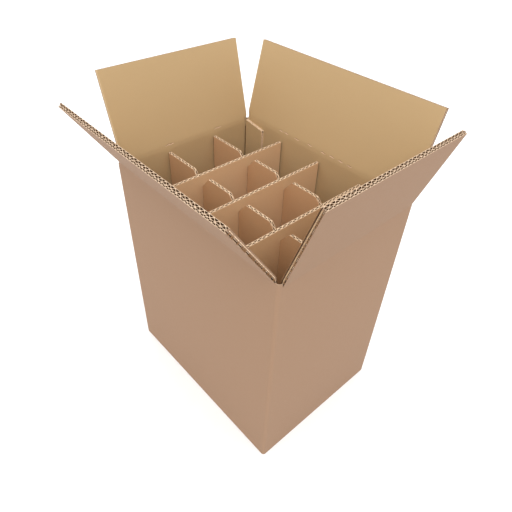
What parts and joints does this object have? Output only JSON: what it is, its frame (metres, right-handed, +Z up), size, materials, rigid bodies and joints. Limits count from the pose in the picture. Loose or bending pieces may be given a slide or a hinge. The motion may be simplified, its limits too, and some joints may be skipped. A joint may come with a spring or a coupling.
{
  "type": "bottle shipping box",
  "caption": "Open shipping carton of double-wall corrugated board, divided by a crossed partition into upright bottle cells; its four top flaps swing on their folds.",
  "frame": {"origin": "middle of the underside, on the floor", "axes": "+Z up, +X along the carton's long side, +Y towards the back long wall that the tab is glued to"},
  "size_m": [0.434, 0.3698, 0.5311],
  "materials": {
    "double_wall_board": "matt kraft liner",
    "partition_board": "matt kraft liner"
  },
  "bodies": {
    "carton": {"carton_body": "double_wall_board", "cross_slat_left": "partition_board", "cross_slat_middle": "partition_board", "cross_slat_right": "partition_board", "long_slat_front": "partition_board", "long_slat_back": "partition_board"},
    "front_flap": {"top_flap_front": "double_wall_board"},
    "back_flap": {"top_flap_back": "double_wall_board"},
    "left_flap": {"top_flap_left": "double_wall_board"},
    "right_flap": {"top_flap_right": "double_wall_board"}
  },
  "joints": [
    {"name": "front_flap_fold", "type": "hinge", "parent": "carton", "child": "front_flap", "pos_m": [0, -0.1308, 0.405], "axis": [1, 0, 0], "range_deg": [-123.3, 86.7]},
    {"name": "back_flap_fold", "type": "hinge", "parent": "carton", "child": "back_flap", "pos_m": [0, 0.1308, 0.405], "axis": [-1, 0, 0], "range_deg": [-104.1, 105.9]},
    {"name": "left_flap_fold", "type": "hinge", "parent": "carton", "child": "left_flap", "pos_m": [-0.1763, 0, 0.3983], "axis": [0, -1, 0], "range_deg": [-104.2, 105.8]},
    {"name": "right_flap_fold", "type": "hinge", "parent": "carton", "child": "right_flap", "pos_m": [0.1763, 0, 0.3983], "axis": [0, 1, 0], "range_deg": [-108, 102]}
  ]
}
